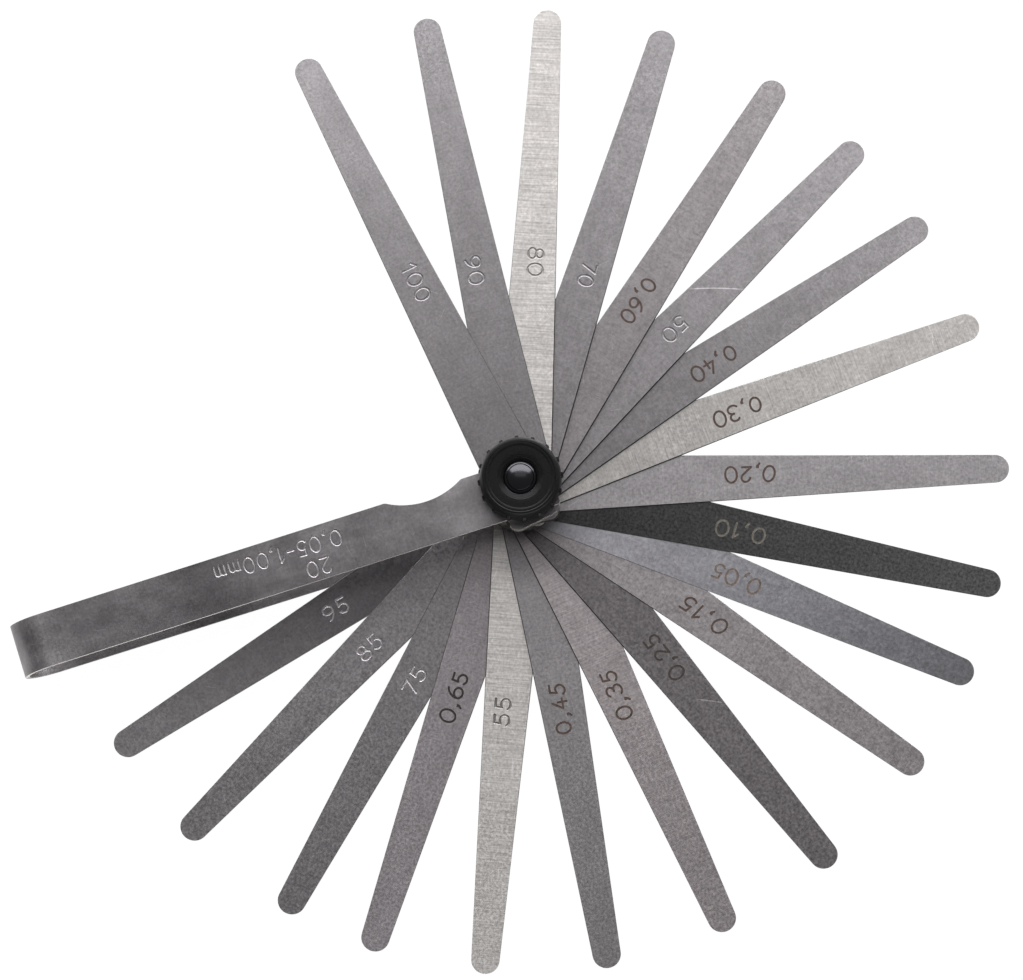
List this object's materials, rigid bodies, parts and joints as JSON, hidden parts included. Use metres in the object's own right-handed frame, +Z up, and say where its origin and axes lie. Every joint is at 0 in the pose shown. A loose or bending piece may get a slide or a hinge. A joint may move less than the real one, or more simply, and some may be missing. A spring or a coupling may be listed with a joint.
{
  "type": "feeler gauge",
  "caption": "Feeler gauge: graded tapered steel blades fanned on one pivot bolt, closing into a folded steel holder, clamped by a ribbed thumb nut.",
  "frame": {"origin": "on the bolt's axis, at the flat underside of its head", "axes": "+Z up the bolt towards the thumb nut, the holder along -X, its thumb scallop on the +Y side, blades fanned as in the picture"},
  "size_m": [0.1926, 0.1829, 0.0199],
  "materials": {
    "holder_steel": "plain rolled steel, satin, lightly stained",
    "blade_steel": "hardened spring steel, satin grey, fine speckle and hairline scratches",
    "bright_blade_steel": "ground spring steel, bright, fine grinding lines across the blade",
    "dark_blade_steel": "dark tempered spring steel, blotchy satin",
    "blackened_steel": "black oxide, semi-gloss",
    "washer_steel": "plain steel, satin",
    "black_plastic": "moulded black plastic, matte with a faint turned texture"
  },
  "bodies": {
    "holder": {"holder": "holder_steel", "pivot_bolt": "blackened_steel"},
    "blade_095": {"blade_095": "blade_steel"},
    "blade_085": {"blade_085": "blade_steel"},
    "blade_075": {"blade_075": "blade_steel"},
    "blade_065": {"blade_065": "blade_steel"},
    "blade_055": {"blade_055": "bright_blade_steel"},
    "blade_045": {"blade_045": "blade_steel"},
    "blade_035": {"blade_035": "blade_steel"},
    "blade_025": {"blade_025": "blade_steel"},
    "blade_015": {"blade_015": "blade_steel"},
    "blade_005": {"blade_005": "blade_steel"},
    "blade_010": {"blade_010": "dark_blade_steel"},
    "blade_020": {"blade_020": "bright_blade_steel"},
    "blade_030": {"blade_030": "bright_blade_steel"},
    "blade_040": {"blade_040": "blade_steel"},
    "blade_050": {"blade_050": "blade_steel"},
    "blade_060": {"blade_060": "blade_steel"},
    "blade_070": {"blade_070": "blade_steel"},
    "blade_080": {"blade_080": "bright_blade_steel"},
    "blade_090": {"blade_090": "blade_steel"},
    "blade_100": {"blade_100": "blade_steel"},
    "washer": {"washer": "washer_steel"},
    "nut": {"thumb_nut": "black_plastic", "nut_insert": "blackened_steel"}
  },
  "joints": [
    {"name": "blade_095_turn", "type": "hinge", "parent": "holder", "child": "blade_095", "pos_m": [0.00026, -0.0001, 0.01], "axis": [0, 0, 1], "range_deg": [-15.15, 344.85]},
    {"name": "blade_085_turn", "type": "hinge", "parent": "holder", "child": "blade_085", "pos_m": [0.00029, -0.00023, 0.01], "axis": [0, 0, 1], "range_deg": [-28.2, 331.8]},
    {"name": "blade_075_turn", "type": "hinge", "parent": "holder", "child": "blade_075", "pos_m": [0.00009, -0.00002, 0.01], "axis": [0, 0, 1], "range_deg": [-43.3, 316.7]},
    {"name": "blade_065_turn", "type": "hinge", "parent": "holder", "child": "blade_065", "pos_m": [0.00014, -0.00013, 0.01], "axis": [0, 0, 1], "range_deg": [-54.3, 305.7]},
    {"name": "blade_055_turn", "type": "hinge", "parent": "holder", "child": "blade_055", "pos_m": [0.0005, -0.00033, 0.01], "axis": [0, 0, 1], "range_deg": [-67.55, 292.45]},
    {"name": "blade_045_turn", "type": "hinge", "parent": "holder", "child": "blade_045", "pos_m": [0.00032, -0.00025, 0.01], "axis": [0, 0, 1], "range_deg": [-82.25, 277.75]},
    {"name": "blade_035_turn", "type": "hinge", "parent": "holder", "child": "blade_035", "pos_m": [0.00035, -0.00024, 0.01], "axis": [0, 0, 1], "range_deg": [-96.7, 263.3]},
    {"name": "blade_025_turn", "type": "hinge", "parent": "holder", "child": "blade_025", "pos_m": [0.00012, -0.00032, 0.01], "axis": [0, 0, 1], "range_deg": [-111.25, 248.75]},
    {"name": "blade_015_turn", "type": "hinge", "parent": "holder", "child": "blade_015", "pos_m": [0.00003, -0.00045, 0.01], "axis": [0, 0, 1], "range_deg": [-126.7, 233.3]},
    {"name": "blade_005_turn", "type": "hinge", "parent": "holder", "child": "blade_005", "pos_m": [-0.00019, -0.00083, 0.01], "axis": [0, 0, 1], "range_deg": [-139.45, 220.55]},
    {"name": "blade_010_turn", "type": "hinge", "parent": "holder", "child": "blade_010", "pos_m": [0.00028, -0.00028, 0.01], "axis": [0, 0, 1], "range_deg": [-150.2, 209.8]},
    {"name": "blade_020_turn", "type": "hinge", "parent": "holder", "child": "blade_020", "pos_m": [0.00036, -0.00006, 0.01], "axis": [0, 0, 1], "range_deg": [-164.1, 195.9]},
    {"name": "blade_030_turn", "type": "hinge", "parent": "holder", "child": "blade_030", "pos_m": [0.0003, -0.00038, 0.01], "axis": [0, 0, 1], "range_deg": [-182.05, 177.95]},
    {"name": "blade_040_turn", "type": "hinge", "parent": "holder", "child": "blade_040", "pos_m": [0.00027, -0.00013, 0.01], "axis": [0, 0, 1], "range_deg": [-195.45, 164.55]},
    {"name": "blade_050_turn", "type": "hinge", "parent": "holder", "child": "blade_050", "pos_m": [0.00017, 0.00001, 0.01], "axis": [0, 0, 1], "range_deg": [-207.55, 152.45]},
    {"name": "blade_060_turn", "type": "hinge", "parent": "holder", "child": "blade_060", "pos_m": [0.00025, -0.00019, 0.01], "axis": [0, 0, 1], "range_deg": [-219.95, 140.05]},
    {"name": "blade_070_turn", "type": "hinge", "parent": "holder", "child": "blade_070", "pos_m": [-0.00006, 0, 0.01], "axis": [0, 0, 1], "range_deg": [-234.7, 125.3]},
    {"name": "blade_080_turn", "type": "hinge", "parent": "holder", "child": "blade_080", "pos_m": [0.00007, -0.00016, 0.01], "axis": [0, 0, 1], "range_deg": [-249.1, 110.9]},
    {"name": "blade_090_turn", "type": "hinge", "parent": "holder", "child": "blade_090", "pos_m": [0.00078, -0.0003, 0.01], "axis": [0, 0, 1], "range_deg": [-264.4, 95.6]},
    {"name": "blade_100_turn", "type": "hinge", "parent": "holder", "child": "blade_100", "pos_m": [-0.00042, -0.00036, 0.01], "axis": [0, 0, 1], "range_deg": [-279.1, 80.9]},
    {"name": "washer_lift", "type": "slide", "parent": "holder", "child": "washer", "axis": [0, 0, 1], "range_m": [0, 0.0016]},
    {"name": "nut_spin", "type": "hinge", "parent": "washer", "child": "nut", "pos_m": [0, 0, 0.017], "axis": [0, 0, 1], "range_deg": [0, 720]}
  ],
  "couplings": [
    {"joint": "nut_spin", "follows": "washer_lift", "rad_per_m": 7854}
  ]
}
